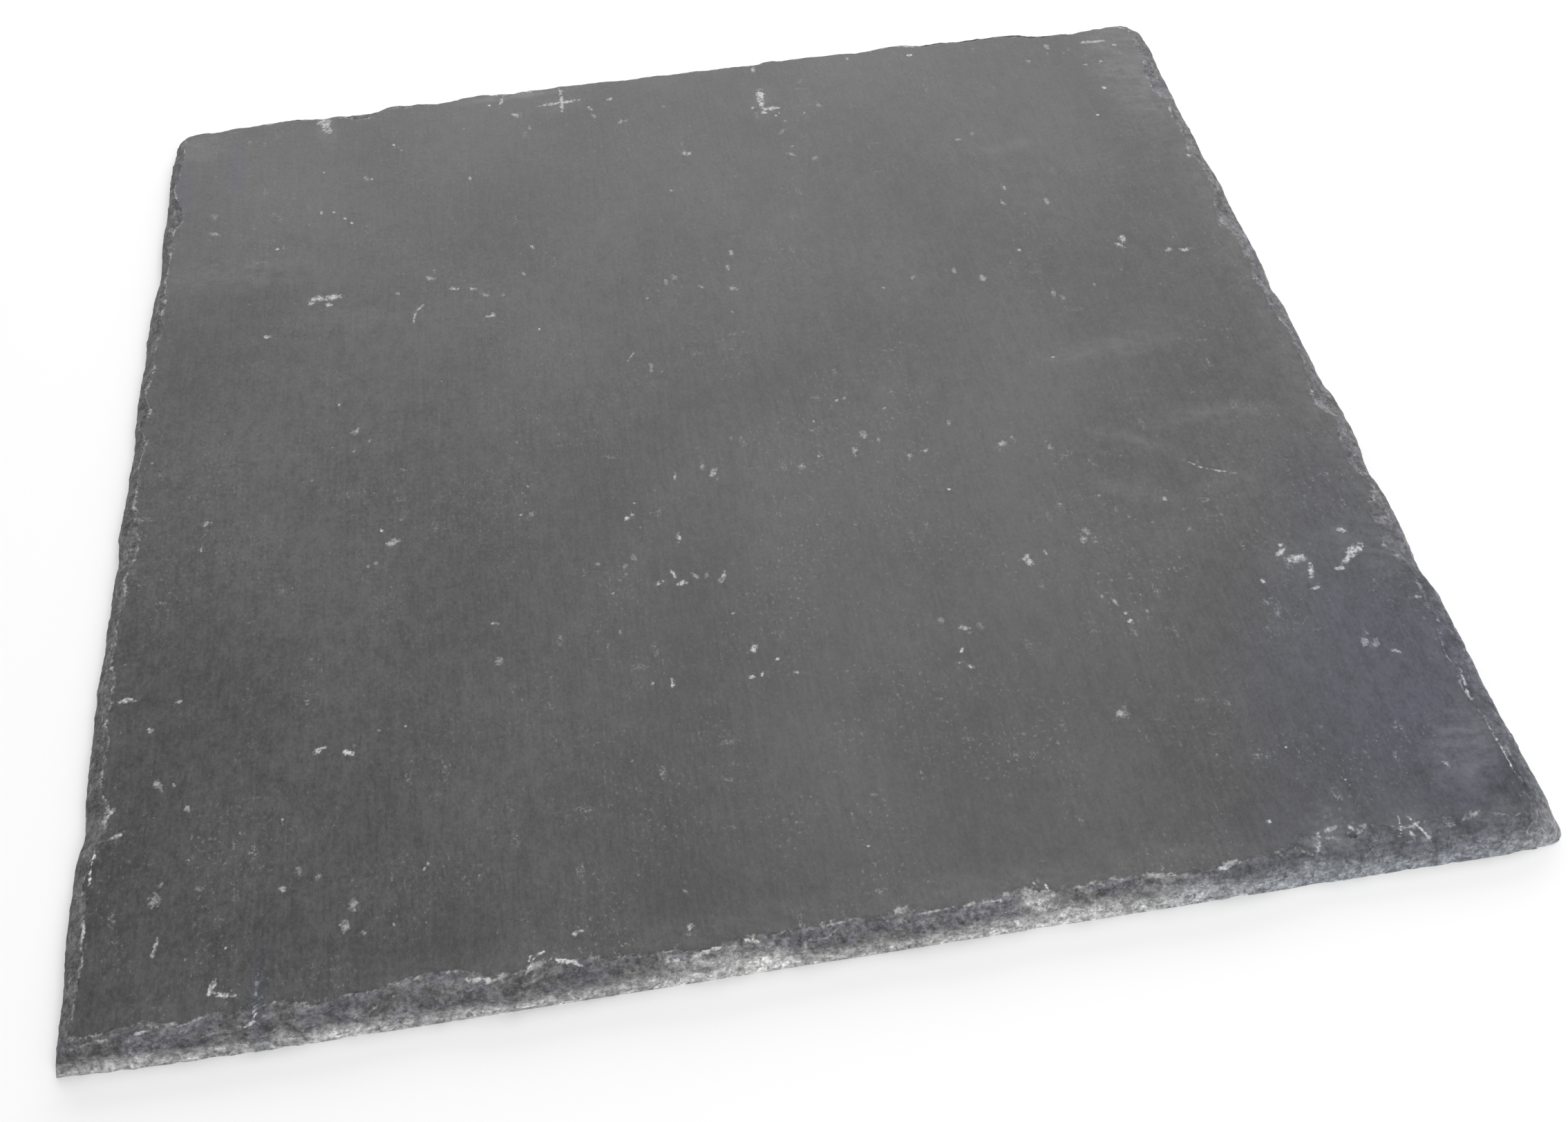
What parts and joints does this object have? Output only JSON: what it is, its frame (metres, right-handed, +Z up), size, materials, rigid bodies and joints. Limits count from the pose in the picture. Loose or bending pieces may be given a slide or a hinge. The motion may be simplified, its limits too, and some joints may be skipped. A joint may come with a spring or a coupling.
{
  "type": "slate slab",
  "caption": "Square slab of natural slate with hand-dressed chipped edges and a flat matt face: a hard surface to stamp, cut and skive leather on.",
  "frame": {"origin": "on the table, under the centre of the slab", "axes": "+X to the right along the front edge, +Y from the front edge to the back edge, +Z up"},
  "size_m": [0.3, 0.3, 0.0065],
  "materials": {
    "slate": "matt riven face, chipped edges"
  },
  "bodies": {
    "root": {"slate_slab": "slate"}
  },
  "joints": []
}
